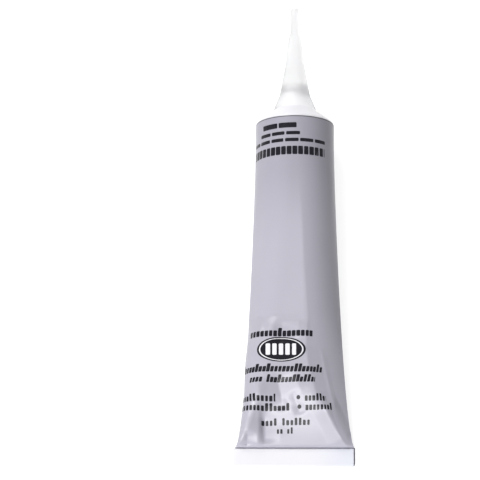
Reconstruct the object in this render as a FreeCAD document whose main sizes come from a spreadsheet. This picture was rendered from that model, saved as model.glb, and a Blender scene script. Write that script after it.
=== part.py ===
# Collapsible aluminium glue tube with a screw-on nozzle, lying on its back.
# +Y runs from the rolled end to the nozzle's tip and +Z is up. The origin is the middle of the
# bottom face of the bounding box. Millimetres and degrees.
import FreeCAD, Part
import Sketcher
import math
import os

os.makedirs("parts", exist_ok=True)
V = FreeCAD.Vector
doc = FreeCAD.newDocument("glue_tube")

# Driving sizes. Heights of the nozzle are measured up from the lower edge of its skirt.
driving = [
    ("tubeDiameter", 22.2),
    ("sleeveLength", 91.2),
    ("roundLength", 7.0),
    ("flatAngle", 40.0),
    ("plumpness", 1.1),
    ("endBluntness", 0.42),
    ("wallThickness", 0.14),
    ("rimRadius", 0.9),
    ("shoulderAngle", 39.0),
    ("neckDiameter", 6.2),
    ("neckLength", 4.8),
    ("neckBore", 3.4),
    ("neckBoreDepth", 5.0),
    ("neckChamfer", 0.4),
    ("foldHeight", 5.5),
    ("foldGap", 0.08),
    ("foldClearance", 0.25),
    ("foldCorner", 1.2),
    ("nozzleLength", 30.8),
    ("skirtDiameter", 12.4),
    ("skirtWall", 1.1),
    ("skirtHeight", 4.7),
    ("coneDiameter", 8.5),
    ("waistHeight", 14.1),
    ("waistDiameter", 5.1),
    ("spoutHeight", 21.1),
    ("spoutDiameter", 3.7),
    ("tipHeight", 24.0),
    ("tipDiameter", 2.3),
    ("tipChamfer", 0.2),
    ("tipBore", 1.2),
    ("outletLength", 6.5),
    ("throatDiameter", 4.6),
    ("socketLead", 0.4),
    ("threadClearance", 0.15),
    ("skirtGap", 0.2),
]
sheet = doc.addObject("Spreadsheet::Sheet", "sizes")
for row, (alias, size) in enumerate(driving, start=1):
    sheet.set(f"A{row}", alias)
    sheet.set(f"B{row}", str(size))
    sheet.setAlias(f"B{row}", alias)
doc.recompute()

# Lengths that follow from the driving sizes, as expressions on the sheet. The tube's own Y is
# zero where the sleeve meets the shoulder, and its own Z is zero on the axis of the neck.
tubeRadius = "sizes.tubeDiameter / 2"
neckRadius = "sizes.neckDiameter / 2"
socketRadius = "(sizes.neckDiameter / 2 + sizes.threadClearance)"
coneSlope = "tan(sizes.shoulderAngle * 1 deg)"
neckBase = f"(sizes.tubeDiameter - sizes.neckDiameter) / 2 * {coneSlope}"
neckTop = f"({neckBase} + sizes.neckLength)"
skirtBase = f"((sizes.tubeDiameter - sizes.skirtDiameter) / 2 * {coneSlope} + sizes.skirtGap)"
stripThickness = "2 * sizes.wallThickness"
stripPitch = "(2 * sizes.wallThickness + sizes.foldGap)"
rollThickness = f"({stripThickness} + 2 * {stripPitch})"
foldEnd = "(sizes.sleeveLength + sizes.foldHeight)"
foldWidth = "(pi * (sizes.tubeDiameter / 2 - sizes.wallThickness) + 2 * sizes.wallThickness)"
middleShift = f"({foldEnd} - {skirtBase} - sizes.nozzleLength) / 2"


def value(expression):
    return float(sheet.evalExpression(expression))


def originPlane(body, role):
    return next(f for f in body.Origin.OriginFeatures if f.Role == role)


def addSketch(body, name, role, normalOffset=None):
    sketch = body.newObject("Sketcher::SketchObject", name)
    sketch.AttachmentSupport = [(originPlane(body, role), "")]
    sketch.MapMode = "FlatFace"
    if normalOffset:
        sketch.setExpression("AttachmentOffset.Base.z", normalOffset)
    return sketch


# Bind one distance of a sketch to an expression.
def bind(sketch, name, expression, *constraint):
    index = sketch.addConstraint(Sketcher.Constraint(*constraint, value(expression)))
    sketch.renameConstraint(index, name)
    sketch.setExpression(f"Constraints.{name}", expression)


# Pin the start of one edge to a place in its sketch.
def pinStart(sketch, edge, name, across, up):
    bind(sketch, f"{name}Across", across, "DistanceX", -1, 1, edge, 1)
    if up == "0":
        sketch.addConstraint(Sketcher.Constraint("PointOnObject", edge, 1, -1))
    else:
        bind(sketch, f"{name}Up", up, "DistanceY", -1, 1, edge, 1)


# Straight edge of an outline. A slanting one is a spline of degree one, because a turned spline
# takes far fewer facets than a cone.
def straightEdge(start, end):
    if abs(end.x - start.x) < 1e-6 or abs(end.y - start.y) < 1e-6:
        return Part.LineSegment(start, end)
    edge = Part.BSplineCurve()
    edge.buildFromPolesMultsKnots([start, end], [2, 2], [0, 1], False, 1)
    return edge


# Closed outline of straight edges through named corners.
def addOutline(sketch, corners):
    places = [V(value(across), value(up), 0) for name, across, up in corners]
    for edge, start in enumerate(places):
        sketch.addGeometry(straightEdge(start, places[(edge + 1) % len(places)]))
    for edge in range(len(places)):
        following = (edge + 1) % len(places)
        sketch.addConstraint(Sketcher.Constraint("Coincident", edge, 2, following, 1))
    for edge, (name, across, up) in enumerate(corners):
        pinStart(sketch, edge, name, across, up)


def revolve(body, name, sketch):
    turned = body.newObject("PartDesign::Revolution", name)
    turned.Profile = sketch
    turned.ReferenceAxis = (sketch, ["H_Axis"])
    turned.Angle = 360
    return turned


# Round the corner of an outline between one edge and the next, keeping the sharp corner's place.
def roundCorner(sketch, edge, name, radius):
    before, after = sketch.Geometry[edge], sketch.Geometry[edge + 1]
    sketch.fillet(edge, edge + 1, (before.StartPoint + before.EndPoint) / 2,
                  (after.StartPoint + after.EndPoint) / 2, value(radius), True, True)
    arcs = [n for n, g in enumerate(sketch.Geometry) if isinstance(g, Part.ArcOfCircle)]
    bind(sketch, name, radius, "Radius", arcs[-1])


# Sleeve: each station keeps the girth of the round tube while it is pressed down to the
# thickness of the roll at the end. A station is a slot of two flats and two bends, and it lies
# on the back of the tube, so the front alone comes down. Straight lines join the stations, as
# sheet that bends one way has them.
stationShares = [0.12, 0.25, 0.38, 0.5, 0.61, 0.71, 0.8, 0.87, 0.925, 0.965, 0.988, 1.0]
pressedLength = "(sizes.sleeveLength - sizes.roundLength)"


def addStation(number, distance):
    sketch = doc.addObject("Sketcher::SketchObject", f"station{number}")
    sketch.Placement = FreeCAD.Placement(V(0, 0, 0), FreeCAD.Rotation(V(1, 0, 0), 90))
    sketch.setExpression("Placement.Base.y", f"-({distance})")
    return sketch


def addRoundStation():
    sketch = addStation(0, "sizes.roundLength")
    circle = Part.Circle(V(0, 0, 0), V(0, 0, 1), value(tubeRadius))
    split = math.radians(value("sizes.flatAngle")) / 2
    quarter = math.pi / 2
    corners = [-quarter - split, -quarter + split, quarter - split, quarter + split]
    for start, end in zip(corners, corners[1:] + [corners[0] + 4 * quarter]):
        sketch.addGeometry(Part.ArcOfCircle(circle, start, end))
    for arc in range(4):
        sketch.addConstraint(Sketcher.Constraint("Coincident", arc, 2, (arc + 1) % 4, 1))
    for arc in range(3):
        sketch.addConstraint(Sketcher.Constraint("Coincident", arc, 3, -1, 1))
    sketch.addConstraint(Sketcher.Constraint("Equal", 1, 3))
    sketch.addConstraint(Sketcher.Constraint("Horizontal", 0, 1, 0, 2))
    sketch.addConstraint(Sketcher.Constraint("Horizontal", 2, 1, 2, 2))
    sketch.addConstraint(Sketcher.Constraint("Vertical", 0, 2, 2, 1))
    bind(sketch, "radius", tubeRadius, "Radius", 1)
    bind(sketch, "flat", "sizes.tubeDiameter * sin(sizes.flatAngle / 2 * 1 deg)",
         "DistanceX", 0, 1, 0, 2)
    return sketch


# Outline of two flats and two bends that lies on the back of the tube.
def addSlot(sketch, bend):
    flat = f"pi * ({tubeRadius} - ({bend}))"
    half = value(flat) / 2
    radius = value(bend)
    back = -value(tubeRadius)
    front = back + 2 * radius
    quarter = math.pi / 2
    rightCircle = Part.Circle(V(half, back + radius, 0), V(0, 0, 1), radius)
    leftCircle = Part.Circle(V(-half, back + radius, 0), V(0, 0, 1), radius)
    sketch.addGeometry(Part.LineSegment(V(-half, back, 0), V(half, back, 0)))
    sketch.addGeometry(Part.ArcOfCircle(rightCircle, -quarter, quarter))
    sketch.addGeometry(Part.LineSegment(V(half, front, 0), V(-half, front, 0)))
    sketch.addGeometry(Part.ArcOfCircle(leftCircle, quarter, 3 * quarter))
    for edge in range(4):
        sketch.addConstraint(Sketcher.Constraint("Tangent", edge, 2, (edge + 1) % 4, 1))
    sketch.addConstraint(Sketcher.Constraint("Symmetric", 0, 1, 0, 2, -2))
    sketch.addConstraint(Sketcher.Constraint("Equal", 1, 3))
    bind(sketch, "back", f"-{tubeRadius}", "DistanceY", -1, 1, 0, 1)
    bind(sketch, "flat", flat, "DistanceX", 0, 1, 0, 2)
    bind(sketch, "bend", bend, "Radius", 1)


def addPressedStation(number, share):
    sketch = addStation(number, f"sizes.roundLength + {share} * {pressedLength}")
    addSlot(sketch, f"{rollThickness} / 2 + ({tubeRadius} - {rollThickness} / 2)"
                    f" * (1 - {share} ^ sizes.plumpness) ^ sizes.endBluntness")
    return sketch


sleeve = doc.addObject("Part::Loft", "sleeve")
sleeve.Sections = [addRoundStation()] + [
    addPressedStation(number, share) for number, share in enumerate(stationShares, start=1)
]
sleeve.Solid = True
sleeve.Ruled = True
doc.recompute()

# Tube: the sleeve takes a turned shoulder and an open neck at its round end.
tube = doc.addObject("PartDesign::Body", "tubeBody")
tube.Label = "tube"
tube.BaseFeature = sleeve
turning = addSketch(tube, "shoulderProfile", "YZ_Plane")
addOutline(turning, [
    ("axisStart", "-sizes.roundLength", "0"),
    ("sleeve", "-sizes.roundLength", tubeRadius),
    ("rim", "0", tubeRadius),
    ("neckFoot", neckBase, neckRadius),
    ("neckEdge", f"{neckTop} - sizes.neckChamfer", neckRadius),
    ("neckFace", neckTop, f"{neckRadius} - sizes.neckChamfer"),
    ("boreMouth", neckTop, "sizes.neckBore / 2"),
    ("boreFoot", f"{neckTop} - sizes.neckBoreDepth", "sizes.neckBore / 2"),
    ("boreEnd", f"{neckTop} - sizes.neckBoreDepth", "0"),
])
roundCorner(turning, 1, "rimRadius", "sizes.rimRadius")
shoulder = revolve(tube, "shoulder", turning)

# Rolled end: the strip of two walls turns up and forward at the bottom, comes back along the
# front and tucks its edge down inside, so three layers lie on each other. Its outline is drawn
# from the side and padded to the width of the pressed tube.
layerPlaces = {
    "turn": f"-({foldEnd} - {stripPitch} - sizes.wallThickness)",
    "tuck": f"-(sizes.sleeveLength + sizes.foldClearance + {stripPitch} / 2 + sizes.wallThickness)",
    "back": f"sizes.wallThickness - {tubeRadius}",
}


def addRollOutline():
    sketch = addSketch(tube, "rollOutline", "YZ_Plane")
    start = value("-sizes.sleeveLength")
    turn, tuck, back = (value(layerPlaces[name]) for name in ("turn", "tuck", "back"))
    pitch, wall = value(stripPitch), value("sizes.wallThickness")
    middle, front = back + pitch, back + 2 * pitch
    quarter = math.pi / 2
    turnAt, tuckAt = V(turn, middle, 0), V(tuck, (middle + front) / 2, 0)
    axis = V(0, 0, 1)
    outline = [
        Part.LineSegment(V(start, back - wall, 0), V(turn, back - wall, 0)),
        Part.ArcOfCircle(Part.Circle(turnAt, axis, pitch + wall), quarter, 3 * quarter),
        Part.LineSegment(V(turn, front + wall, 0), V(tuck, front + wall, 0)),
        Part.ArcOfCircle(Part.Circle(tuckAt, axis, pitch / 2 + wall), -quarter, quarter),
        Part.LineSegment(V(tuck, middle - wall, 0), V(turn, middle - wall, 0)),
        Part.LineSegment(V(turn, middle - wall, 0), V(turn, middle + wall, 0)),
        Part.LineSegment(V(turn, middle + wall, 0), V(tuck, middle + wall, 0)),
        Part.ArcOfCircle(Part.Circle(tuckAt, axis, pitch / 2 - wall), -quarter, quarter),
        Part.LineSegment(V(tuck, front - wall, 0), V(turn, front - wall, 0)),
        Part.ArcOfCircle(Part.Circle(turnAt, axis, pitch - wall), quarter, 3 * quarter),
        Part.LineSegment(V(turn, back + wall, 0), V(start, back + wall, 0)),
        Part.LineSegment(V(start, back + wall, 0), V(start, back - wall, 0)),
    ]
    for edge in outline:
        sketch.addGeometry(edge)
    smooth = [(0, 2, 1, 2), (1, 1, 2, 1), (2, 2, 3, 2), (3, 1, 4, 1),
              (6, 2, 7, 1), (7, 2, 8, 1), (8, 2, 9, 1), (9, 2, 10, 1)]
    for ends in smooth:
        sketch.addConstraint(Sketcher.Constraint("Tangent", *ends))
    for ends in [(4, 2, 5, 1), (5, 2, 6, 1), (10, 2, 11, 1), (11, 2, 0, 1),
                 (9, 3, 1, 3), (7, 3, 3, 3)]:
        sketch.addConstraint(Sketcher.Constraint("Coincident", *ends))
    for edge in (0, 2, 4, 6, 8, 10):
        sketch.addConstraint(Sketcher.Constraint("Horizontal", edge))
    for edge in (5, 11):
        sketch.addConstraint(Sketcher.Constraint("Vertical", edge))
    sketch.addConstraint(Sketcher.Constraint("Vertical", 4, 2, 1, 3))
    pinStart(sketch, 0, "start", "-sizes.sleeveLength", f"-{tubeRadius}")
    bind(sketch, "turnOutside", f"{stripPitch} + sizes.wallThickness", "Radius", 1)
    bind(sketch, "turnInside", f"{stripPitch} - sizes.wallThickness", "Radius", 9)
    bind(sketch, "tuckOutside", f"{stripPitch} / 2 + sizes.wallThickness", "Radius", 3)
    bind(sketch, "turnPlace", layerPlaces["turn"], "DistanceX", -1, 1, 1, 3)
    bind(sketch, "tuckPlace", layerPlaces["tuck"], "DistanceX", -1, 1, 3, 3)
    return sketch


roll = tube.newObject("PartDesign::Pad", "rolledFold")
roll.Profile = addRollOutline()
roll.Midplane = True
roll.setExpression("Length", foldWidth)

# The two free corners of the fold are rounded off.
corner = addSketch(tube, "foldCornerShape", "XY_Plane")
cornerAcross, cornerUp, rounding = (
    value(size) for size in (f"{foldWidth} / 2", f"-{foldEnd}", "sizes.foldCorner"))
cornerCircle = Part.Circle(V(cornerAcross - rounding, cornerUp + rounding, 0), V(0, 0, 1), rounding)
corner.addGeometry(Part.LineSegment(V(cornerAcross, cornerUp, 0),
                                    V(cornerAcross, cornerUp + rounding, 0)))
corner.addGeometry(Part.ArcOfCircle(cornerCircle, -math.pi / 2, 0))
corner.addGeometry(Part.LineSegment(V(cornerAcross - rounding, cornerUp, 0),
                                    V(cornerAcross, cornerUp, 0)))
corner.addConstraint(Sketcher.Constraint("Tangent", 0, 2, 1, 2))
corner.addConstraint(Sketcher.Constraint("Tangent", 1, 1, 2, 1))
corner.addConstraint(Sketcher.Constraint("Coincident", 2, 2, 0, 1))
corner.addConstraint(Sketcher.Constraint("Vertical", 0))
corner.addConstraint(Sketcher.Constraint("Horizontal", 2))
pinStart(corner, 0, "corner", f"{foldWidth} / 2", f"-{foldEnd}")
bind(corner, "rounding", "sizes.foldCorner", "Radius", 1)
cornerCut = tube.newObject("PartDesign::Pocket", "cornerCut")
cornerCut.Profile = corner
cornerCut.Type = "ThroughAll"
otherCorner = tube.newObject("PartDesign::Mirrored", "otherCornerCut")
otherCorner.Originals = [cornerCut]
otherCorner.MirrorPlane = (originPlane(tube, "YZ_Plane"), [""])
tube.Tip = otherCorner

# Nozzle: turned form of a moulding. The hollow skirt stands just off the shoulder, the socket
# takes the neck, and the neck's face closes on the seat round the throat.
nozzle = doc.addObject("PartDesign::Body", "nozzleBody")
nozzle.Label = "nozzle"
seat = f"({neckTop} - {skirtBase})"
lipSlope = f"sizes.skirtWall * {coneSlope}"
socketMouth = f"((sizes.skirtDiameter / 2 - {socketRadius}) * {coneSlope} + sizes.socketLead)"
moulding = addSketch(nozzle, "nozzleProfile", "YZ_Plane")
addOutline(moulding, [
    ("skirtEdge", "0", "sizes.skirtDiameter / 2"),
    ("skirtTop", "sizes.skirtHeight", "sizes.coneDiameter / 2"),
    ("waist", "sizes.waistHeight", "sizes.waistDiameter / 2"),
    ("spout", "sizes.spoutHeight", "sizes.spoutDiameter / 2"),
    ("tipFoot", "sizes.tipHeight", "sizes.tipDiameter / 2"),
    ("tipEdge", "sizes.nozzleLength - sizes.tipChamfer", "sizes.tipDiameter / 2"),
    ("tipFace", "sizes.nozzleLength", "sizes.tipDiameter / 2 - sizes.tipChamfer"),
    ("outletEnd", "sizes.nozzleLength", "sizes.tipBore / 2"),
    ("outletFoot", "sizes.nozzleLength - sizes.outletLength", "sizes.tipBore / 2"),
    ("throat", seat, "sizes.throatDiameter / 2"),
    ("seat", seat, socketRadius),
    ("socketMouth", socketMouth, socketRadius),
    ("lip", lipSlope, "sizes.skirtDiameter / 2 - sizes.skirtWall"),
])
revolve(nozzle, "nozzleForm", moulding)

# Both pieces lie with the back of the tube on the ground and the long way centred.
for body in (tube, nozzle):
    body.setExpression("Placement.Base.z", tubeRadius)
tube.setExpression("Placement.Base.y", middleShift)
nozzle.setExpression("Placement.Base.y", f"{middleShift} + {skirtBase}")

doc.recompute()
for item in doc.Objects:
    if "Invalid" in item.State or "Error" in item.State:
        raise RuntimeError(f"{item.Label} failed: {item.State}")
for body in (tube, nozzle):
    if body.Shape.isNull() or not body.Shape.isValid() or len(body.Shape.Solids) != 1:
        raise RuntimeError(f"{body.Label} is not one valid solid")
for body in (tube, nozzle):
    body.Shape.exportStep(f"parts/{body.Label}.step")
    print(f"{body.Label}: {body.Shape.Volume:.1f} mm3")
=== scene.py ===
import bpy
import bmesh
import math
from mathutils import Matrix, Vector


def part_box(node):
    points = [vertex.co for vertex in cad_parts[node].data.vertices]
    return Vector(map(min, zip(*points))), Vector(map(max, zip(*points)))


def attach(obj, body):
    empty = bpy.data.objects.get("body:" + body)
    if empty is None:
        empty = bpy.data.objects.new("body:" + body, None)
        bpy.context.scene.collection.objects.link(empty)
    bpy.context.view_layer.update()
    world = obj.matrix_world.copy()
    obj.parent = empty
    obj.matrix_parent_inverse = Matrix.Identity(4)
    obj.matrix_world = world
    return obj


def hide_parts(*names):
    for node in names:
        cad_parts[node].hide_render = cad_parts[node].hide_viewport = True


# Looks of a collapsible aluminium glue tube that lies on its back, with its screw-on nozzle.
# Lengths in the dictionaries are millimetres, angles degrees. "along" runs down the tube from the
# shoulder's edge, "around" runs round it from the middle of the front, positive to the right.
mm = 0.001
weldDistance = 1e-7  # metres
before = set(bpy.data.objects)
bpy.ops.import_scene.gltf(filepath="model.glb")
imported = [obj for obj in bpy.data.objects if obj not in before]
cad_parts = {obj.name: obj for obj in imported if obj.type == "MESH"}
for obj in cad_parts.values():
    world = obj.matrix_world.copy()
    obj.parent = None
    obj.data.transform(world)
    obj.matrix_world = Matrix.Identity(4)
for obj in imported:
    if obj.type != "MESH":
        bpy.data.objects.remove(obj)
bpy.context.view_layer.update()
tubeLow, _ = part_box("tube")
nozzleLow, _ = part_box("nozzle")
scene = bpy.context.scene


# Objects and meshes
def addPiece(name, bm, *materials):
    mesh = bpy.data.meshes.new(name)
    bm.to_mesh(mesh)
    bm.free()
    piece = bpy.data.objects.new(name, mesh)
    scene.collection.objects.link(piece)
    for material in materials:
        mesh.materials.append(material)
    return piece


def smoothFaces(bm):
    for face in bm.faces:
        face.smooth = True


def sharpenEdges(piece, angle):
    piece.data.set_sharp_from_angle(angle=math.radians(angle))


def blendStep(low, high, x):
    t = min(max((x - low) / (high - low), 0), 1)
    return t * t * (3 - 2 * t)


# Node helpers
def newMaterial(name):
    material = bpy.data.materials.new(name)
    material.use_nodes = True
    tree = material.node_tree
    return material, tree, tree.nodes["Principled BSDF"]


def addNode(tree, kind, **settings):
    node = tree.nodes.new(kind)
    for name, setting in settings.items():
        setattr(node, name, setting)
    return node


def feed(tree, socket, source):
    if isinstance(source, bpy.types.NodeSocket):
        tree.links.new(source, socket)
    else:
        socket.default_value = source


def math1(tree, operation, *sources):
    node = addNode(tree, "ShaderNodeMath", operation=operation)
    for socket, source in zip(node.inputs, sources):
        feed(tree, socket, source)
    return node.outputs[0]


def softStep(tree, value, low, high):
    node = addNode(tree, "ShaderNodeMapRange", interpolation_type="SMOOTHSTEP")
    feed(tree, node.inputs["Value"], value)
    feed(tree, node.inputs["From Min"], low)
    feed(tree, node.inputs["From Max"], high)
    return node.outputs["Result"]


def mixColour(tree, factor, first, second):
    node = addNode(tree, "ShaderNodeMix", data_type="RGBA")
    feed(tree, node.inputs[0], factor)
    feed(tree, node.inputs[6], first)
    feed(tree, node.inputs[7], second)
    return node.outputs[2]


def noiseAt(tree, vector, scale, detail=2.0, roughness=0.5):
    node = addNode(tree, "ShaderNodeTexNoise")
    feed(tree, node.inputs["Vector"], vector)
    feed(tree, node.inputs["Scale"], scale)
    node.inputs["Detail"].default_value = detail
    node.inputs["Roughness"].default_value = roughness
    return node.outputs["Fac"]


def newGroup(name, inputs, outputs):
    group = bpy.data.node_groups.new(name, "ShaderNodeTree")
    for label, kind in inputs:
        group.interface.new_socket(label, in_out="INPUT", socket_type=kind)
    for label, kind in outputs:
        group.interface.new_socket(label, in_out="OUTPUT", socket_type=kind)
    return group, group.nodes.new("NodeGroupInput"), group.nodes.new("NodeGroupOutput")


def useGroup(tree, group, **sources):
    node = addNode(tree, "ShaderNodeGroup", node_tree=group)
    for name, source in sources.items():
        feed(tree, node.inputs[name], source)
    return node


# Finish groups that several materials use. Their shares are shares of the finish's own scale.
grainForm = {"broadShare": 0.06, "broadDetail": 3.0, "fineDetail": 4.0, "fineRoughness": 0.6}
scuffForm = {
    "turn": 0.5,  # radians
    "stretch": 0.12,
    "streakDetail": 5.0,
    "streakRoughness": 0.7,
    "streakEdge": (0.60, 0.68),
    "patchShare": 0.12,
    "patchEdge": (0.50, 0.66),
}


def buildFineGrain(form):
    group, source, sink = newGroup(
        "fineGrain",
        [("Vector", "NodeSocketVector"), ("Scale", "NodeSocketFloat"),
         ("Depth", "NodeSocketFloat")],
        [("Height", "NodeSocketFloat"), ("Shade", "NodeSocketFloat")])
    place, scale = source.outputs["Vector"], source.outputs["Scale"]
    broadScale = math1(group, "MULTIPLY", scale, form["broadShare"])
    broad = noiseAt(group, place, broadScale, form["broadDetail"])
    fine = noiseAt(group, place, scale, form["fineDetail"], form["fineRoughness"])
    feed(group, sink.inputs["Height"], math1(group, "MULTIPLY", fine, source.outputs["Depth"]))
    feed(group, sink.inputs["Shade"], broad)
    return group


def buildScuffMarks(form):
    group, source, sink = newGroup(
        "scuffMarks",
        [("Vector", "NodeSocketVector"), ("Scale", "NodeSocketFloat"),
         ("Amount", "NodeSocketFloat")],
        [("Mask", "NodeSocketFloat")])
    place, scale = source.outputs["Vector"], source.outputs["Scale"]
    stretch = addNode(group, "ShaderNodeMapping")
    feed(group, stretch.inputs["Vector"], place)
    stretch.inputs["Rotation"].default_value = (0, 0, form["turn"])
    stretch.inputs["Scale"].default_value = (1.0, form["stretch"], 1.0)
    streak = noiseAt(group, stretch.outputs[0], scale, form["streakDetail"],
                     form["streakRoughness"])
    patch = noiseAt(group, place, math1(group, "MULTIPLY", scale, form["patchShare"]))
    marks = softStep(group, streak, *form["streakEdge"])
    places = softStep(group, patch, *form["patchEdge"])
    mask = math1(group, "MULTIPLY", marks, places)
    feed(group, sink.inputs["Mask"], math1(group, "MULTIPLY", mask, source.outputs["Amount"]))
    return group


fineGrain = buildFineGrain(grainForm)
scuffMarks = buildScuffMarks(scuffForm)


# A new material with its grain and scuffs, placed by the object's own coordinates.
def startFinish(name, finish):
    material, tree, shader = newMaterial(name)
    place = addNode(tree, "ShaderNodeTexCoord").outputs["Object"]
    grain = useGroup(tree, fineGrain, Vector=place, Scale=finish["grainScale"],
                     Depth=finish["grainDepth"])
    scuffs = useGroup(tree, scuffMarks, Vector=place, Scale=finish["scuffScale"],
                      Amount=finish["scuffAmount"])
    return material, tree, shader, place, grain, scuffs.outputs["Mask"]


# Roughness that the grain spreads evenly about the finish's own.
def grainRoughness(tree, grain, finish):
    spread = finish["spread"]
    return math1(tree, "MULTIPLY_ADD", grain.outputs["Shade"], spread,
                 finish["roughness"] - spread / 2)


def addBump(tree, shader, height, finish):
    bump = addNode(tree, "ShaderNodeBump")
    bump.inputs["Strength"].default_value = finish["bump"]
    bump.inputs["Distance"].default_value = finish["bumpDepth"] * mm
    feed(tree, bump.inputs["Height"], height)
    feed(tree, shader.inputs["Normal"], bump.outputs[0])


# Camera: level with the neck's axis from side to side, and well above the rolled end.
cameraSettings = {
    "focus": (0.0, -4.04, 0.0),
    "distance": 900.0,
    "elevation": 75.45,
    "yaw": 0.995,
    "pitch": 0.257,
    "lens": 236.76,
    "sensor": 36.0,
    "clip": (50.0, 10000.0),
}


def addCamera(settings):
    data = bpy.data.cameras.new("mainCamera")
    data.lens = settings["lens"]
    data.sensor_width = settings["sensor"]
    data.clip_start, data.clip_end = [distance * mm for distance in settings["clip"]]
    camera = bpy.data.objects.new("mainCamera", data)
    scene.collection.objects.link(camera)
    elevation = math.radians(settings["elevation"])
    back = Vector((0, -math.cos(elevation), math.sin(elevation)))
    place = Vector(settings["focus"]) * mm + back * settings["distance"] * mm
    camera.matrix_world = (
        Matrix.Translation(place)
        @ Matrix.Rotation(math.pi / 2 - elevation, 4, "X")
        @ Matrix.Rotation(math.radians(settings["yaw"]), 4, "Y")
        @ Matrix.Rotation(math.radians(settings["pitch"]), 4, "X")
    )
    scene.camera = camera


addCamera(cameraSettings)
print("camera placed")

# Studio: pale floor, faint world light and soft boxes behind, in front and beside.
studioSettings = {
    "floorSize": 6.0,  # metres, like the lamps' sizes and distance
    "floorDrop": 0.02,
    "floorColour": (0.45, 0.45, 0.455, 1),
    "floorGlow": 0.85,
    "floorRoughness": 0.8,
    "worldColour": (1.0, 1.0, 1.0, 1),
    "worldStrength": 0.05,
    "lampDistance": 0.95,
    "lamps": {
        "backBox": {"from": (-0.5, 0.85, 0.80), "size": 0.45, "power": 4.6},
        "frontBox": {"from": (-0.4, -0.75, 0.80), "size": 0.45, "power": 4.7},
        "lowBox": {"from": (-0.2, -0.85, 0.60), "size": 0.45, "power": 4.0},
        "shoulderBox": {"from": (-0.15, 1.0, 0.16), "size": 0.28, "power": 2.15},
        "sideBox": {"from": (0.6, 0.8, 0.20), "size": 0.28, "power": 0.8},
    },
}


# 1 for what the camera sees at once or by way of metal, gloss or clear plastic, else 0.
def seenRays(tree):
    path = addNode(tree, "ShaderNodeLightPath")
    seen = math1(tree, "MAXIMUM", path.outputs["Is Camera Ray"], path.outputs["Is Glossy Ray"])
    return math1(tree, "MAXIMUM", seen, path.outputs["Is Transmission Ray"])


def addStudio(settings):
    half = settings["floorSize"] / 2
    bm = bmesh.new()
    bmesh.ops.create_grid(bm, x_segments=1, y_segments=1, size=half)
    bmesh.ops.translate(bm, verts=bm.verts, vec=(0, 0, -settings["floorDrop"] * mm))
    material, tree, shader = newMaterial("paleFloor")
    shader.inputs["Base Color"].default_value = settings["floorColour"]
    shader.inputs["Roughness"].default_value = settings["floorRoughness"]
    shader.inputs["Emission Color"].default_value = (1, 1, 1, 1)
    feed(tree, shader.inputs["Emission Strength"],
         math1(tree, "MULTIPLY", seenRays(tree), settings["floorGlow"]))
    floor = addPiece("floor", bm, material)
    world = bpy.data.worlds.new("studio")
    world.use_nodes = True
    scene.world = world
    tree = world.node_tree
    background = tree.nodes["Background"]
    background.inputs["Color"].default_value = settings["worldColour"]
    strength = addNode(tree, "ShaderNodeMix", data_type="FLOAT")
    feed(tree, strength.inputs[0], seenRays(tree))
    feed(tree, strength.inputs[2], settings["worldStrength"])
    feed(tree, strength.inputs[3], 1.0)
    feed(tree, background.inputs["Strength"], strength.outputs[0])
    for name, lamp in settings["lamps"].items():
        data = bpy.data.lights.new(name, "AREA")
        data.shape = "SQUARE"
        data.size = lamp["size"]
        data.energy = lamp["power"]
        box = bpy.data.objects.new(name, data)
        away = Vector(lamp["from"]).normalized()
        box.location = away * settings["lampDistance"]
        box.rotation_mode = "QUATERNION"
        box.rotation_quaternion = away.to_track_quat("Z", "Y")
        scene.collection.objects.link(box)
    scene.view_settings.view_transform = "Standard"


addStudio(studioSettings)
print("studio lit")

# Tube: sleeve, shoulder, neck and rolled end. Rings lie closest next to the roll.
tubeForm = {
    "radius": 11.1,
    "sleeve": 91.2,
    "round": 7.0,
    "girthShare": 0.975,  # of the round girth, kept by the pressed sleeve
    "plumpness": 1.225,
    "bluntness": 0.509,
    "wall": 0.14,
    "lowest": 0.014,  # above the ground
    "rimRadius": 0.9,
    "rimSteps": 8,
    "shoulderAngle": 39.0,
    "shoulderSteps": 12,
    "neckRadius": 2.85,
    "neckFoot": 3.1,
    "neckFootRise": 0.25,
    "neckLength": 4.8,
    "neckBore": 1.7,
    "neckBoreDepth": 5.0,
    "neckChamfer": 0.35,
    "coatShare": 0.97,  # of the neck's radius, beyond which it is white
    "steps": 288,
    "sideShare": 0.45,  # how far the columns of faces crowd towards the sides
    "ringPitch": 0.45,
    "firstPitch": 0.12,
    "pitchGrowth": 0.16,
    "rollPitch": 0.36,
    "rollClearance": 0.12,
    "rollHeight": 5.5,
    "rollShift": -0.42,  # sideways, as it is rolled
    "rollCorner": 1.2,
    "layerSteps": 10,
    "outerBendSteps": 12,
    "innerBendSteps": 8,
    "tuckShare": 0.9,
    "tuckSteps": 4,
    "sharpAngle": 40,
}
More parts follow.
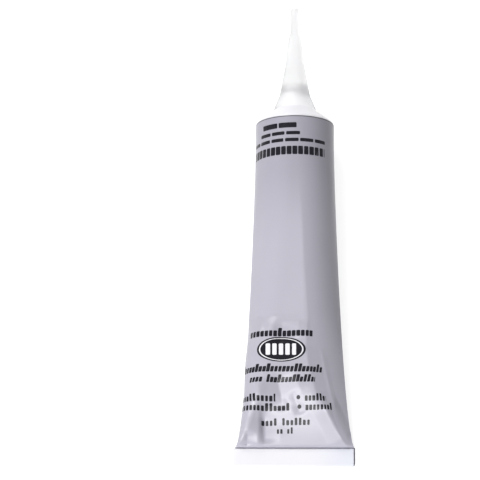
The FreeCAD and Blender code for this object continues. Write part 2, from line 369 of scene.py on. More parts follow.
# Facets, dents and creases of the pressed front. A side facet is a list of (along, edge, share):
# the place of its edge round the tube on its own side, and how flat it is pressed. A crease is a
# valley with a wall on each side, each as wide as given. It sinks in over the share "head" of its
# length and fades out from the share "tail". All of them end at "fadeOut", before the roll.
dentForm = {
    "rightFacet": [(18.0, 1.8, 0.0), (34.0, 2.2, 0.35), (57.0, 3.6, 0.60), (65.0, 3.0, 0.82),
                   (71.0, 4.0, 0.88), (77.0, 5.8, 0.92), (82.0, 8.5, 0.97), (86.5, 10.9, 1.0),
                   (89.5, 13.2, 1.0), (91.2, 15.0, 1.0)],
    "leftFacet": [(16.0, -1.0, 0.0), (31.0, -1.8, 0.45), (56.0, -2.6, 0.50), (61.0, -2.6, 0.0),
                  (64.0, 11.0, 0.0), (75.0, 12.0, 0.25), (88.5, 14.6, 0.45), (91.2, 16.4, 0.45)],
    "edgeLimit": 0.8,  # of the bend's radius, past the flat
    "bulge": 0.02,
    "frontFacet": {"start": 79.6, "slant": 0.22, "end": 90.7, "left": -9.4, "fade": 1.2},
    "bowls": [
        {"at": (-3.2, 61.4), "reach": (8.5, 3.4), "turn": -4, "depth": 0.42},
        {"at": (-16.2, 69.0), "reach": (5.0, 8.0), "turn": 0, "depth": -0.30},
        {"at": (13.0, 90.2), "reach": (1.8, 0.8), "turn": 0, "depth": 0.14},
    ],
    "creases": [
        {"from": (-3.9, 57.4), "to": (-4.1, 64.5), "left": 2.4, "right": 4.6, "depth": 0.45},
        {"from": (-8.9, 57.8), "to": (-9.2, 63.5), "left": 1.3, "right": 2.6, "depth": 0.24},
        {"from": (-5.7, 71.5), "to": (-2.6, 82.5), "left": 5.6, "right": 5.6, "depth": 1.30,
         "tail": 0.62},
        {"from": (0.9, 57.4), "to": (1.2, 63.0), "left": 3.0, "right": 3.4, "depth": -0.40},
        {"from": (-10.9, 73.0), "to": (-10.6, 80.0), "left": 2.2, "right": 3.0, "depth": -0.30},
        {"from": (-9.3, 77.6), "to": (-9.1, 90.2), "left": 5.6, "right": 18.0, "depth": 1.40,
         "tail": 0.50},
        {"from": (-9.2, 81.0), "to": (-8.8, 90.8), "left": 5.8, "right": 4.6, "depth": 0.75},
        {"from": (-13.3, 87.0), "to": (-13.9, 91.6), "left": 2.2, "right": 2.8, "depth": 0.95},
        {"from": (-1.0, 76.4), "to": (2.0, 83.2), "left": 2.0, "right": 5.0, "depth": 0.50},
        {"from": (7.6, 79.0), "to": (14.8, 91.6), "left": 4.0, "right": 5.5, "depth": -0.90},
        {"from": (8.1, 63.5), "to": (13.0, 84.0), "left": 1.2, "right": 1.6, "depth": -0.10},
    ],
    "head": 0.28,
    "tail": 0.80,
    "sharpness": 1.1,
    "fadeOut": (91.1, 90.2),
}
rimPlace = tubeLow.y + (tubeForm["sleeve"] + tubeForm["rollHeight"]) * mm
axisHeight = tubeForm["radius"]
shoulderSlope = math.tan(math.radians(tubeForm["shoulderAngle"]))
neckStart = (tubeForm["radius"] - tubeForm["neckFoot"]) * shoulderSlope


def pressedShare(along):
    form = tubeForm
    return min(max((along - form["round"]) / (form["sleeve"] - form["round"]), 0), 1)


def bendRadius(along):
    form = tubeForm
    share = pressedShare(along)
    left = max(1 - share ** form["plumpness"], 0) ** form["bluntness"]
    return form["wall"] + (form["radius"] - form["wall"]) * left


def facetAt(side, along):
    places = dentForm["rightFacet" if side > 0 else "leftFacet"]
    for (before, lowEdge, lowShare), (after, highEdge, highShare) in zip(places, places[1:]):
        if before <= along <= after:
            step = (along - before) / (after - before)
            return lowEdge + (highEdge - lowEdge) * step, lowShare + (highShare - lowShare) * step
    return 0.0, 0.0


# Place across and above the ground of a point on a slot of two flats and two bends, and how far
# it has turned round the bend.
def slotPoint(reach, bend, flat):
    if reach < 0:
        x, z, turn = slotPoint(-reach, bend, flat)
        return -x, z, turn
    if reach <= flat:
        return reach, 2 * bend, 0.0
    turn = (reach - flat) / bend
    if turn >= math.pi:
        return max(2 * flat + math.pi * bend - reach, 0), 0, math.pi
    return flat + bend * math.sin(turn), bend + bend * math.cos(turn), turn


# How far the front is pressed below its own curve by the flat face next to the fold.
def frontDrop(around, along):
    face = dentForm["frontFacet"]
    start = face["start"] + face["slant"] * around
    if not start < along < face["end"]:
        return 0.0
    step = (along - start) / (face["end"] - start)
    chord = bendRadius(start) + (bendRadius(face["end"]) - bendRadius(start)) * step
    share = blendStep(face["left"] - face["fade"], face["left"] + face["fade"], around)
    return 2 * (bendRadius(along) - chord) * share


def sleevePoint(around, along):
    form = tubeForm
    bend = bendRadius(along)
    flat = form["girthShare"] * math.pi / 2 * (form["radius"] - bend)
    place = around / (math.pi * form["radius"]) * (2 * flat + math.pi * bend)
    x, z, turn = slotPoint(place, bend, flat)
    widest = flat + bend * math.pi / 2
    z -= frontDrop(around, along) * max(math.cos(turn), 0)
    for side in (1, -1):
        edge, share = facetAt(side, along)
        edge = min(edge, flat + bend * dentForm["edgeLimit"])
        reach = side * place
        if share > 0 and edge < reach < widest:
            first, last = slotPoint(edge, bend, flat), slotPoint(widest, bend, flat)
            step = (reach - edge) / (widest - edge)
            bulge = dentForm["bulge"] * bend * step * (1 - step) * 4
            firstZ = first[1] - frontDrop(side * edge, along) * math.cos(first[2])
            chordX = side * (first[0] + (last[0] - first[0]) * step + bulge)
            chordZ = firstZ + (last[1] - firstZ) * step + bulge
            x += (chordX - x) * share
            z += (chordZ - z) * share
    if turn < math.pi / 2:
        inward = dentDepth(around, along)
        x -= inward * math.copysign(math.sin(turn), place)
        z -= inward * math.cos(turn)
    return x, max(z, form["lowest"])


def dentDepth(around, along):
    depth = 0.0
    for bowl in dentForm["bowls"]:
        turn = math.radians(bowl["turn"])
        u, v = around - bowl["at"][0], along - bowl["at"][1]
        p = (u * math.cos(turn) + v * math.sin(turn)) / bowl["reach"][0]
        q = (v * math.cos(turn) - u * math.sin(turn)) / bowl["reach"][1]
        depth += bowl["depth"] * blendStep(1, 0, math.hypot(p, q))
    for crease in dentForm["creases"]:
        (u0, v0), (u1, v1) = crease["from"], crease["to"]
        length = math.hypot(u1 - u0, v1 - v0)
        share = ((around - u0) * (u1 - u0) + (along - v0) * (v1 - v0)) / length ** 2
        off = ((around - u0) * (v1 - v0) - (along - v0) * (u1 - u0)) / length
        reach = abs(off) / crease["right" if off > 0 else "left"]
        if 0 < share < 1 and reach < 1:
            tail = crease.get("tail", dentForm["tail"])
            fade = blendStep(0, dentForm["head"], share) * blendStep(1, tail, share)
            depth += crease["depth"] * fade * (1 - reach) ** dentForm["sharpness"]
    return depth * blendStep(*dentForm["fadeOut"], along)


def tubeProfile():
    form = tubeForm
    slope = math.radians(form["shoulderAngle"])
    outline = []
    along = form["sleeve"]
    while along > form["rimRadius"]:
        outline.append((-along, form["radius"], along))
        gap = form["sleeve"] - along
        along -= min(form["firstPitch"] + gap * form["pitchGrowth"], form["ringPitch"])
    cut = form["rimRadius"] * math.tan((math.pi / 2 - slope) / 2)
    middle = (-cut, form["radius"] - form["rimRadius"])
    outline.append((-cut, form["radius"], cut))
    for step in range(1, form["rimSteps"] + 1):
        turn = (math.pi / 2 - slope) * step / form["rimSteps"]
        outline.append((middle[0] + form["rimRadius"] * math.sin(turn),
                        middle[1] + form["rimRadius"] * math.cos(turn),
                        cut - form["rimRadius"] * turn))
    start = outline[-1]
    foot = (neckStart, form["neckFoot"])
    run = math.hypot(foot[0] - start[0], foot[1] - start[1])
    for step in range(1, form["shoulderSteps"] + 1):
        share = step / form["shoulderSteps"]
        outline.append((start[0] + (foot[0] - start[0]) * share,
                        start[1] + (foot[1] - start[1]) * share, start[2] - run * share))
    top = foot[0] + form["neckLength"]
    reach = outline[-1][2]
    for y, radius in [
        (foot[0] + form["neckFootRise"], form["neckRadius"]),
        (top - form["neckChamfer"], form["neckRadius"]),
        (top, form["neckRadius"] - form["neckChamfer"]),
        (top, form["neckBore"]),
        (top - form["neckBoreDepth"], form["neckBore"]),
        (top - form["neckBoreDepth"], 0.0),
    ]:
        last = outline[-1]
        reach -= math.hypot(y - last[0], radius - last[1])
        outline.append((y, radius, reach))
    return outline


def pressSleeve(bm, alongLayer, aroundLayer):
    form = tubeForm
    for vert in bm.verts:
        angle = math.atan2(vert.co.x, vert.co.z)
        spread = angle + form["sideShare"] / 2 * math.sin(2 * angle)
        radius = math.hypot(vert.co.x, vert.co.z) / mm
        vert[aroundLayer] = form["radius"] * spread
        along = vert[alongLayer]
        if along > form["round"]:
            x, z = sleevePoint(form["radius"] * spread, along)
            vert.co.x, vert.co.z = x * mm, z * mm
        else:
            vert.co.x = radius * math.sin(spread) * mm
            vert.co.z = (axisHeight + radius * math.cos(spread)) * mm


# The flat strip at the end is rolled forward by turning its open edge loop round two centres.
def rollEnd(bm, alongLayer):
    form = tubeForm
    edges = [edge for edge in bm.edges if edge.is_boundary]
    pitch = form["rollPitch"]
    travelled = form["sleeve"]

    def advance(move, length):
        nonlocal edges, travelled
        made = bmesh.ops.extrude_edge_only(bm, edges=edges)
        verts = [item for item in made["geom"] if isinstance(item, bmesh.types.BMVert)]
        edges = [item for item in made["geom"] if isinstance(item, bmesh.types.BMEdge)
                 and item.is_boundary]
        travelled += length
        move(verts)
        for vert in verts:
            vert[alongLayer] = travelled

    def slide(distance, count):
        for step in range(count):
            advance(lambda verts: bmesh.ops.translate(
                bm, verts=verts, vec=(0, distance / count * mm, 0)), abs(distance) / count)

    def turn(centre, radius, count, drift):
        def move(verts):
            bmesh.ops.rotate(bm, verts=verts, cent=centre,
                             matrix=Matrix.Rotation(-math.pi / count, 3, "X"))
            bmesh.ops.translate(bm, verts=verts, vec=(drift / count * mm, 0, 0))
        for step in range(count):
            advance(move, math.pi * radius / count)

    low = form["wall"]
    straight = form["rollHeight"] - pitch - low
    slide(-straight, form["layerSteps"])
    bottom = rimPlace - (form["sleeve"] + straight) * mm
    middle = Vector((0, bottom, (low + pitch) * mm))
    turn(middle, pitch, form["outerBendSteps"], form["rollShift"])
    back = straight - form["rollClearance"] - pitch / 2 - low
    slide(back, form["layerSteps"])
    tuck = Vector((0, bottom + back * mm, (low + pitch * 1.5) * mm))
    turn(tuck, pitch / 2, form["innerBendSteps"], 0)
    slide(-back * form["tuckShare"], form["tuckSteps"])
    bmesh.ops.edgeloop_fill(bm, edges=edges)


# The free corners of the roll are rounded, on all its layers.
def roundRollCorners(bm, alongLayer):
    form = tubeForm
    radius = form["rollCorner"] * mm
    rolled = [vert for vert in bm.verts if vert[alongLayer] > form["sleeve"]]
    low = min(vert.co.y for vert in rolled)
    for side in (-1, 1):
        end = max(vert.co.x * side for vert in rolled)
        middle = Vector((end - radius, low + radius))
        for vert in rolled:
            away = Vector((vert.co.x * side, vert.co.y)) - middle
            if away.x > 0 and away.y < 0 and away.length > radius:
                away *= radius / away.length
                vert.co.x = side * (middle.x + away.x)
                vert.co.y = middle.y + away.y


labelSpan = 100.0  # length that the label's map shows as 1


def addLabelMap(bm, alongLayer, aroundLayer):
    girth = 2 * math.pi * tubeForm["radius"]
    label = bm.loops.layers.uv.new("label")
    for face in bm.faces:
        arounds = [loop.vert[aroundLayer] for loop in face.loops]
        crossing = max(arounds) - min(arounds) > girth / 2
        for loop, around in zip(face.loops, arounds):
            if crossing and around < 0:
                around += girth
            loop[label].uv = (around / labelSpan + 0.5, loop.vert[alongLayer] / labelSpan)


def buildTube(paint, coat, metal):
    form = tubeForm
    bm = bmesh.new()
    alongLayer = bm.verts.layers.float.new("along")
    aroundLayer = bm.verts.layers.float.new("around")
    chain = []
    for y, radius, along in tubeProfile():
        vert = bm.verts.new((0, rimPlace + y * mm, -radius * mm))
        vert[alongLayer] = along
        chain.append(vert)
    edges = [bm.edges.new(pair) for pair in zip(chain, chain[1:])]
    bmesh.ops.spin(bm, geom=chain + edges, cent=(0, 0, 0), axis=(0, 1, 0),
                   angle=2 * math.pi, steps=form["steps"], use_merge=True)
    bmesh.ops.remove_doubles(bm, verts=bm.verts, dist=weldDistance)
    pressSleeve(bm, alongLayer, aroundLayer)
    rollEnd(bm, alongLayer)
    roundRollCorners(bm, alongLayer)
    bmesh.ops.recalc_face_normals(bm, faces=bm.faces)
    addLabelMap(bm, alongLayer, aroundLayer)
    smoothFaces(bm)
    for face in bm.faces:
        middle = face.calc_center_median()
        if middle.y > rimPlace + neckStart * mm:
            radius = math.hypot(middle.x, middle.z - axisHeight * mm) / mm
            face.material_index = 1 if radius > form["neckRadius"] * form["coatShare"] else 2
    tube = addPiece("tubeSkin", bm, paint, coat, metal)
    sharpenEdges(tube, form["sharpAngle"])
    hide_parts("tube")
    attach(tube, "tube")


# Paint: grey enamel with a white base at the shoulder and on the roll, and dark generic marks.
enamelFinish = {
    "grey": (0.485, 0.475, 0.545, 1),
    "paleGrey": (0.51, 0.50, 0.57, 1),
    # painted shade: the grey is darker towards the shoulder, fading out down the sleeve
    "topShadeGrey": (0.42, 0.41, 0.475, 1),
    "topShadeFade": (10.0, 38.0),
    "white": (0.95, 0.94, 0.98, 1),
    # painted shade: darker, bluer white towards the right end of the roll
    "shadedRollWhite": (0.88, 0.895, 0.98, 1),
    "rollShadeAcross": (2.0, 16.0),
    "rollShadeAlong": (90.0, 96.0),
    "ink": (0.008, 0.008, 0.013, 1),
    "chalk": (0.62, 0.61, 0.66, 1),
    "greyStart": (0.20, 0.30),
    "greyEnd": (96.7, 96.5),
    # painted shade: a dark band at the top of the grey, where it turns over the rim's rounding
    "rimShadeEnd": (0.67, 0.47),
    "rimShadeStrength": 0.75,
    "roughness": 0.30,
    "inkRoughness": 0.27,
    "spread": 0.10,
    "scuffRoughness": 0.12,
    "sheen": 0.37,
    "inkSheen": 0.17,
    "grainScale": 2600.0,
    "grainDepth": 0.35,
    "scuffScale": 900.0,
    "scuffAmount": 0.8,
    "inkWear": 0.35,
    "paintWear": 0.10,
    "bump": 0.25,
    "bumpDepth": 0.05,
}
# Rows of plain blocks: where each starts and ends round the tube, its middle and height along
# it, and the pitch, lean and widths of its blocks. "ragged" is how far the low blocks drop.
markRows = [
    {"start": -10.5, "end": 0.6, "place": 3.1, "height": 1.5, "pitch": 5.6, "narrow": 0.93,
     "wide": 0.93, "ragged": 0.0, "lean": 0.0, "filled": 1.0},
    {"start": -11.5, "end": 1.7, "place": 5.4, "height": 1.0, "pitch": 4.4, "narrow": 0.90,
     "wide": 0.90, "ragged": 0.0, "lean": 0.0, "filled": 1.0},
    {"start": -15.9, "end": 9.7, "place": 7.4, "height": 1.0, "pitch": 4.3, "narrow": 0.80,
     "wide": 0.92, "ragged": 0.0, "lean": 0.0, "filled": 1.0},
    {"start": -17.0, "end": 9.4, "place": 10.4, "height": 2.4, "pitch": 1.62, "narrow": 0.78,
     "wide": 0.92, "ragged": 0.0, "lean": 0.0, "filled": 0.97},
    {"start": -14.0, "end": 5.4, "place": 60.9, "height": 2.4, "pitch": 1.30, "narrow": 0.76,
     "wide": 0.92, "ragged": 0.32, "lean": 0.0, "filled": 0.93},
    {"start": -17.0, "end": 8.8, "place": 70.6, "height": 2.2, "pitch": 1.12, "narrow": 0.74,
     "wide": 0.90, "ragged": 0.32, "lean": 0.22, "filled": 0.90},
    {"start": -13.3, "end": 6.0, "place": 73.4, "height": 2.0, "pitch": 1.05, "narrow": 0.74,
     "wide": 0.90, "ragged": 0.32, "lean": 0.22, "filled": 0.90},
    {"start": -17.0, "end": -5.5, "place": 78.4, "height": 2.0, "pitch": 1.20, "narrow": 0.66,
     "wide": 0.84, "ragged": 0.30, "lean": 0.0, "filled": 1.0},
    {"start": 2.7, "end": 9.4, "place": 78.4, "height": 2.0, "pitch": 1.06, "narrow": 0.66,
     "wide": 0.84, "ragged": 0.30, "lean": 0.0, "filled": 1.0},
    {"start": -17.0, "end": -1.4, "place": 80.8, "height": 2.0, "pitch": 1.20, "narrow": 0.66,
     "wide": 0.84, "ragged": 0.30, "lean": 0.0, "filled": 1.0},
    {"start": 2.9, "end": 11.1, "place": 80.8, "height": 2.0, "pitch": 1.06, "narrow": 0.66,
     "wide": 0.84, "ragged": 0.30, "lean": 0.0, "filled": 1.0},
    {"start": -9.7, "end": 4.3, "place": 84.6, "height": 1.9, "pitch": 1.18, "narrow": 0.55,
     "wide": 0.76, "ragged": 0.28, "lean": 0.0, "filled": 0.80},
    {"start": -5.3, "end": 0.5, "place": 86.9, "height": 1.7, "pitch": 0.98, "narrow": 0.55,
     "wide": 0.74, "ragged": 0.28, "lean": 0.0, "filled": 0.85},
]
markSpots = [{"at": (1.0, 78.4), "size": 0.55}, {"at": (1.3, 80.8), "size": 0.55}]
spotBlur = 0.08
badgeForm = {
    "at": (-3.9, 65.65),
    "half": (7.0, 3.4),
    "ring": (0.85, 0.905),
    "blur": 0.01,
    "row": {"start": -8.5, "end": 0.7, "place": 65.65, "height": 3.1, "pitch": 1.84,
            "narrow": 0.62, "wide": 0.74, "ragged": 0.0, "lean": 0.0, "filled": 1.0},
}
# Register mark on the back, for the machine that turns and fills the tube.
eyeMark = {"start": 29.5, "end": 33.5, "place": 87.6, "height": 5.0, "pitch": 9.0,
           "narrow": 1.0, "wide": 1.0, "ragged": 0.0, "lean": 0.0, "filled": 1.0}
# Corners of a block as a share of its pitch and at most, the share of blocks that are low, and
# the softness of the edges.
blockForm = {"cornerShare": 0.22, "cornerLimit": 0.3, "lowShare": 0.7, "blur": 0.05,
             "endBlur": 0.06}


def buildBlockRow(form):
    names = ["Around", "Along", "Start", "End", "Place", "Height", "Pitch", "Narrow", "Wide",
             "Ragged", "Lean", "Filled"]
    group, source, sink = newGroup("blockRow", [(name, "NodeSocketFloat") for name in names],
                                   [("Mask", "NodeSocketFloat")])
    value = source.outputs
    down = math1(group, "SUBTRACT", value["Along"], value["Place"])
    across = math1(group, "ADD", value["Around"], math1(group, "MULTIPLY", down, value["Lean"]))
    run = math1(group, "DIVIDE", math1(group, "SUBTRACT", across, value["Start"]), value["Pitch"])
    chance = addNode(group, "ShaderNodeTexWhiteNoise", noise_dimensions="2D")
    key = addNode(group, "ShaderNodeCombineXYZ")
    feed(group, key.inputs[0], math1(group, "FLOOR", run))
    feed(group, key.inputs[1], value["Place"])
    feed(group, chance.inputs["Vector"], key.outputs[0])
    draw = addNode(group, "ShaderNodeSeparateColor")
    feed(group, draw.inputs[0], chance.outputs["Color"])
    spread = math1(group, "SUBTRACT", value["Wide"], value["Narrow"])
    width = math1(group, "MULTIPLY_ADD", draw.outputs[0], spread, value["Narrow"])
    corner = math1(group, "MULTIPLY", value["Pitch"], form["cornerShare"])
    corner = math1(group, "MINIMUM", corner, form["cornerLimit"])
    half = math1(group, "MULTIPLY", math1(group, "MULTIPLY", width, value["Pitch"]), 0.5)
    off = math1(group, "ABSOLUTE", math1(group, "SUBTRACT", math1(group, "FRACT", run), 0.5))
    off = math1(group, "MULTIPLY", off, value["Pitch"])
    low = math1(group, "LESS_THAN", draw.outputs[1], form["lowShare"])
    drop = math1(group, "MULTIPLY", value["Height"], value["Ragged"])
    drop = math1(group, "MULTIPLY", math1(group, "MULTIPLY", drop, low), 0.5)
    reach = math1(group, "SUBTRACT", math1(group, "MULTIPLY", value["Height"], 0.5), drop)
    rise = math1(group, "ABSOLUTE", math1(group, "SUBTRACT", down, drop))
    sides = []
    for distance, limit in ((off, half), (rise, reach)):
        inner = math1(group, "SUBTRACT", limit, corner)
        over = math1(group, "MAXIMUM", math1(group, "SUBTRACT", distance, inner), 0.0)
        sides.append(math1(group, "MULTIPLY", over, over))
    away = math1(group, "SQRT", math1(group, "ADD", sides[0], sides[1]))
    mask = softStep(group, math1(group, "SUBTRACT", away, corner), form["blur"], -form["blur"])
    kept = math1(group, "LESS_THAN", draw.outputs[2], value["Filled"])
    begun = softStep(group, across, value["Start"],
                     math1(group, "ADD", value["Start"], form["endBlur"]))
    ended = softStep(group, across, value["End"],
                     math1(group, "SUBTRACT", value["End"], form["endBlur"]))
    for part in (kept, begun, ended):
        mask = math1(group, "MULTIPLY", mask, part)
    feed(group, sink.inputs["Mask"], mask)
    return group


blockRow = buildBlockRow(blockForm)


def placeRow(tree, around, along, row):
    sizes = {name.capitalize(): size for name, size in row.items()}
    return useGroup(tree, blockRow, Around=around, Along=along, **sizes).outputs["Mask"]


# Distance from a place on the label, as a share of the half sizes given.
def labelDistance(tree, around, along, at, half):
    u = math1(tree, "DIVIDE", math1(tree, "SUBTRACT", around, at[0]), half[0])
    v = math1(tree, "DIVIDE", math1(tree, "SUBTRACT", along, at[1]), half[1])
    return math1(tree, "SQRT", math1(tree, "ADD", math1(tree, "MULTIPLY", u, u),
                                     math1(tree, "MULTIPLY", v, v)))


def makeInkMask(tree, around, along):
    ink = placeRow(tree, around, along, eyeMark)
    for row in markRows:
        ink = math1(tree, "MAXIMUM", ink, placeRow(tree, around, along, row))
    for spot in markSpots:
        away = labelDistance(tree, around, along, spot["at"], (spot["size"], spot["size"]))
        dot = softStep(tree, away, 1 + spotBlur, 1 - spotBlur)
        ink = math1(tree, "MAXIMUM", ink, dot)
    return ink


# Masks of the badge's dark oval and of the pale ring and blocks in it.
def makeBadge(tree, around, along, form):
    blur = form["blur"]
    away = labelDistance(tree, around, along, form["at"], form["half"])
    oval = softStep(tree, away, 1 + blur, 1 - blur)
    low, high = form["ring"]
    ring = math1(tree, "MULTIPLY", softStep(tree, away, low - blur, low + blur),
                 softStep(tree, away, high + blur, high - blur))
    pale = math1(tree, "MAXIMUM", ring, placeRow(tree, around, along, form["row"]))
    return oval, math1(tree, "MULTIPLY", pale, oval)


def makeEnamel(finish):
    material, tree, shader, place, grain, scuffs = startFinish("greyEnamel", finish)
    label = addNode(tree, "ShaderNodeUVMap", uv_map="label")
    parts = addNode(tree, "ShaderNodeSeparateXYZ")
    feed(tree, parts.inputs[0], label.outputs[0])
    around = math1(tree, "SUBTRACT", parts.outputs[0], 0.5)
    around = math1(tree, "MULTIPLY", around, labelSpan)
    along = math1(tree, "MULTIPLY", parts.outputs[1], labelSpan)
    # grey field in random tones, painted darker towards the shoulder as painted shade there
    greyTop = softStep(tree, along, *finish["greyStart"])
    grey = math1(tree, "MULTIPLY", greyTop, softStep(tree, along, *finish["greyEnd"]))
    paint = mixColour(tree, grain.outputs["Shade"], finish["grey"], finish["paleGrey"])
    # painted shade: darker grey at the top of the sleeve, next to the shoulder
    fade = softStep(tree, along, *finish["topShadeFade"])
    paint = mixColour(tree, fade, finish["topShadeGrey"], paint)
    # painted shade: a dark band in print colour where the grey turns over the rim's rounding
    rimShade = math1(tree, "MULTIPLY", greyTop, softStep(tree, along, *finish["rimShadeEnd"]))
    paint = mixColour(tree, math1(tree, "MULTIPLY", rimShade, finish["rimShadeStrength"]), paint, finish["ink"])
    # white base, painted darker and bluer towards the roll's right end as painted shade
    sides = addNode(tree, "ShaderNodeSeparateXYZ")
    feed(tree, sides.inputs[0], place)
    low, high = [distance * mm for distance in finish["rollShadeAcross"]]
    rollShade = math1(tree, "MULTIPLY", softStep(tree, sides.outputs[0], low, high),
                 softStep(tree, along, *finish["rollShadeAlong"]))
    base = mixColour(tree, rollShade, finish["white"], finish["shadedRollWhite"])
    colour = mixColour(tree, grey, base, paint)
    # print and wear
    oval, pale = makeBadge(tree, around, along, badgeForm)
    ink = math1(tree, "MAXIMUM", makeInkMask(tree, around, along), oval)
    worn = math1(tree, "MULTIPLY", scuffs, finish["inkWear"])
    ink = math1(tree, "MULTIPLY", ink, math1(tree, "SUBTRACT", 1.0, worn))
    colour = mixColour(tree, ink, colour, finish["ink"])
    colour = mixColour(tree, pale, colour, finish["white"])
    rubbed = math1(tree, "MULTIPLY", scuffs, finish["paintWear"])
    colour = mixColour(tree, rubbed, colour, finish["chalk"])
    feed(tree, shader.inputs["Base Color"], colour)
    rough = grainRoughness(tree, grain, finish)
    rough = math1(tree, "MULTIPLY_ADD", scuffs, finish["scuffRoughness"], rough)
    gloss = math1(tree, "MULTIPLY", ink, finish["inkRoughness"] - finish["roughness"])
    feed(tree, shader.inputs["Roughness"], math1(tree, "ADD", rough, gloss))
    feed(tree, shader.inputs["Specular IOR Level"],
         math1(tree, "MULTIPLY_ADD", ink, finish["inkSheen"] - finish["sheen"], finish["sheen"]))
    addBump(tree, shader, grain.outputs["Height"], finish)
    return material


# Bare metal of the neck's mouth and its bore, with the rings that turning leaves.
metalFinish = {
    "colour": (0.78, 0.78, 0.79, 1),
    "dull": (0.62, 0.62, 0.64, 1),
    "roughness": 0.34,
    "spread": 0.16,
    "grainScale": 5200.0,
    "grainDepth": 0.4,
    "scuffScale": 1500.0,
    "scuffAmount": 1.0,
    "ringScale": 1400.0,
    "ringWander": 0.6,
    "ringDepth": 0.5,
    "bump": 0.3,
    "bumpDepth": 0.04,
}


def makeBareMetal(finish):
    material, tree, shader, place, grain, scuffs = startFinish("bareAluminium", finish)
    tarnish = math1(tree, "MAXIMUM", grain.outputs["Shade"], scuffs)
    feed(tree, shader.inputs["Base Color"],
         mixColour(tree, tarnish, finish["colour"], finish["dull"]))
    shader.inputs["Metallic"].default_value = 1.0
    feed(tree, shader.inputs["Roughness"], grainRoughness(tree, grain, finish))
    rings = addNode(tree, "ShaderNodeTexWave", wave_type="BANDS", bands_direction="Y")
    feed(tree, rings.inputs["Vector"], place)
    rings.inputs["Scale"].default_value = finish["ringScale"]
    rings.inputs["Distortion"].default_value = finish["ringWander"]
    height = math1(tree, "MULTIPLY_ADD", rings.outputs["Fac"], finish["ringDepth"],
                   grain.outputs["Height"])
    addBump(tree, shader, height, finish)
    return material


# White coat of the neck and its thread, rubbed through to the metal in places.
coatFinish = {
    "colour": (0.93, 0.925, 0.95, 1),
    "metal": (0.78, 0.78, 0.79, 1),
    "roughness": 0.38,
    "spread": 0.12,
    "grainScale": 3600.0,
    "grainDepth": 0.4,
    "scuffScale": 1500.0,
    "scuffAmount": 0.9,
    "bump": 0.25,
    "bumpDepth": 0.04,
}


def makeCoat(finish):
    material, tree, shader, _, grain, scuffs = startFinish("whiteCoat", finish)
    feed(tree, shader.inputs["Base Color"],
         mixColour(tree, scuffs, finish["colour"], finish["metal"]))
    feed(tree, shader.inputs["Metallic"], scuffs)
    feed(tree, shader.inputs["Roughness"], grainRoughness(tree, grain, finish))
    addBump(tree, shader, math1(tree, "SUBTRACT", grain.outputs["Height"], scuffs), finish)
    return material


# Helical ridge: a three-sided section turned round the neck's axis while it climbs.
def addHelix(name, material, form):
    bm = bmesh.new()
    start = rimPlace + form["start"] * mm
    half = form["foot"] / 2
    section = [(-half, form["root"]), (0.0, form["crest"]), (half, form["root"])]
    verts = [bm.verts.new((0, start + y * mm, axisHeight * mm + radius * mm))
             for y, radius in section]
    edges = [bm.edges.new((verts[i], verts[(i + 1) % 3])) for i in range(3)]
    made = bmesh.ops.spin(bm, geom=verts + edges, cent=(0, 0, axisHeight * mm), axis=(0, 1, 0),
                          dvec=(0, form["pitch"] * mm / form["turnSteps"], 0),
                          angle=form["turns"] * 2 * math.pi,
                          steps=int(form["turns"] * form["turnSteps"]), use_merge=False)
    last = [item for item in made["geom_last"] if isinstance(item, bmesh.types.BMVert)]
    for end in (verts, last):  # each end is drawn down to the root
        for vert in end:
            away = Vector((vert.co.x, 0, vert.co.z - axisHeight * mm))
            away = away.normalized() * form["root"] * mm
            vert.co = Vector((away.x, vert.co.y, axisHeight * mm + away.z))
    bmesh.ops.holes_fill(bm, edges=[edge for edge in bm.edges if edge.is_boundary], sides=3)
    bmesh.ops.recalc_face_normals(bm, faces=bm.faces)
    smoothFaces(bm)
    helix = addPiece(name, bm, material)
    sharpenEdges(helix, form["sharpAngle"])
    return helix


whiteCoat = makeCoat(coatFinish)
buildTube(makeEnamel(enamelFinish), whiteCoat, makeBareMetal(metalFinish))
neckThreadForm = {"root": 2.80, "crest": 3.10, "foot": 0.9, "pitch": 1.25, "turns": 2.6,
                  "start": 7.3, "turnSteps": 48, "sharpAngle": 35}
neckThread = addHelix("neckThread", whiteCoat, neckThreadForm)
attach(neckThread, "tube")
print("tube built")

# Nozzle: a hollow moulding. Heights are measured up from the lower edge of its skirt, and each
# corner has its radius. The parting line runs along both sides between the heights given.
nozzleForm = {
    "outline": [
        (0.0, 6.2, 0.16), (4.7, 4.25, 0.08), (14.1, 2.55, 0.08), (21.1, 1.85, 0.07),
        (24.0, 1.15, 0.09), (30.8, 1.13, 0.25), (30.8, 0.6, 0.12), (24.3, 0.6, 0.0),
        (6.99, 2.3, 0.0), (6.99, 3.25, 0.0), (2.79, 3.45, 0.15), (0.89, 5.1, 0.2),
    ],
    "outside": 6,
    "steps": 160,
    "cornerSteps": 4,
    "seamHeight": 0.04,
    "seamFrom": 0.2,
    "seamTo": 30.4,
    "seamShare": 0.9,
    "sharpAngle": 38,
}
nozzleThreadForm = {"root": 3.5, "crest": 3.27, "foot": 0.8, "pitch": 1.25, "turns": 2.2,
                    "start": 8.4, "turnSteps": 48, "sharpAngle": 35}


def outerRadius(height):
    outside = nozzleForm["outline"][:nozzleForm["outside"]]
    for (low, lowRadius, _), (high, highRadius, _) in zip(outside, outside[1:]):
        if low <= height <= high:
            return lowRadius + (highRadius - lowRadius) * (height - low) / (high - low)
    return 0.0


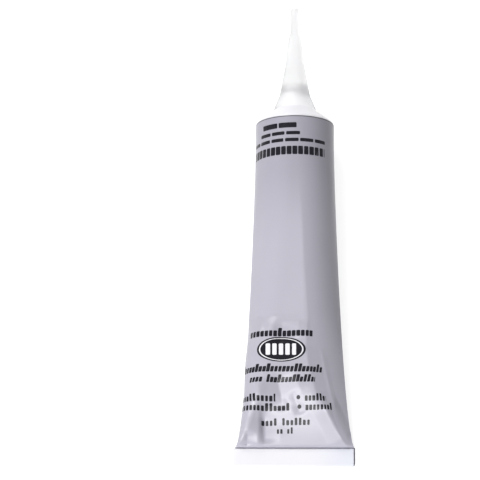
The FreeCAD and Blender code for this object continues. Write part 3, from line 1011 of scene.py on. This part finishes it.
def buildNozzle(material):
    form = nozzleForm
    bm = bmesh.new()
    verts = [bm.verts.new((0, nozzleLow.y + height * mm, (axisHeight - radius) * mm))
             for height, radius, _ in form["outline"]]
    count = len(verts)
    edges = [bm.edges.new((verts[i], verts[(i + 1) % count])) for i in range(count)]
    for vert, (_, _, corner) in zip(verts, form["outline"]):
        if corner:
            bmesh.ops.bevel(bm, geom=[vert], offset=corner * mm, segments=form["cornerSteps"],
                            profile=0.5, material=-1, affect="VERTICES")
    bmesh.ops.spin(bm, geom=bm.verts[:] + bm.edges[:], cent=(0, 0, axisHeight * mm),
                   axis=(0, 1, 0), angle=2 * math.pi, steps=form["steps"], use_merge=True)
    bmesh.ops.remove_doubles(bm, verts=bm.verts, dist=weldDistance)
    for vert in bm.verts:
        height = (vert.co.y - nozzleLow.y) / mm
        onSide = abs(vert.co.z - axisHeight * mm) < weldDistance
        outside = abs(vert.co.x) / mm > outerRadius(height) * form["seamShare"]
        if onSide and outside and form["seamFrom"] < height < form["seamTo"]:
            vert.co.x += math.copysign(form["seamHeight"] * mm, vert.co.x)
    bmesh.ops.recalc_face_normals(bm, faces=bm.faces)
    smoothFaces(bm)
    nozzle = addPiece("nozzleShell", bm, material)
    sharpenEdges(nozzle, form["sharpAngle"])
    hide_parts("nozzle")
    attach(nozzle, "nozzle")


# Natural plastic. Its colour is painted lighter on the skirt and darker from the end of the inner
# socket upwards: painted light against the shade inside the skirt, and painted shade on the cone.
plasticFinish = {
    "colour": (0.90, 0.90, 0.90, 1),
    "shade": (0.885, 0.885, 0.89, 1),
    # painted shade: darker colour of the cone, against the lighter skirt
    "shadedCone": (0.862, 0.862, 0.865, 1),
    "shadedConeFrom": (7.5, 13.0),
    "roughness": 0.65,
    "spread": 0.12,
    "scuffRoughness": 0.15,
    "clearness": 0.98,
    "grainScale": 3400.0,
    "grainDepth": 0.5,
    "scuffScale": 1100.0,
    "scuffAmount": 0.8,
    "bump": 0.2,
    "bumpDepth": 0.04,
}


def makePlastic(finish):
    material, tree, shader, place, grain, scuffs = startFinish("naturalPolyethylene", finish)
    colour = mixColour(tree, grain.outputs["Shade"], finish["colour"], finish["shade"])
    parts = addNode(tree, "ShaderNodeSeparateXYZ")
    feed(tree, parts.inputs[0], place)
    # painted light and shade: lighter skirt below, darker cone from the socket's end up
    low, high = [nozzleLow.y + height * mm for height in finish["shadedConeFrom"]]
    colour = mixColour(tree, softStep(tree, parts.outputs[1], low, high), colour, finish["shadedCone"])
    feed(tree, shader.inputs["Base Color"], colour)
    rough = grainRoughness(tree, grain, finish)
    feed(tree, shader.inputs["Roughness"],
         math1(tree, "MULTIPLY_ADD", scuffs, finish["scuffRoughness"], rough))
    shader.inputs["Transmission Weight"].default_value = finish["clearness"]
    addBump(tree, shader, math1(tree, "SUBTRACT", grain.outputs["Height"], scuffs), finish)
    return material


plastic = makePlastic(plasticFinish)
buildNozzle(plastic)
nozzleThread = addHelix("nozzleThread", plastic, nozzleThreadForm)
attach(nozzleThread, "nozzle")
print("nozzle built")
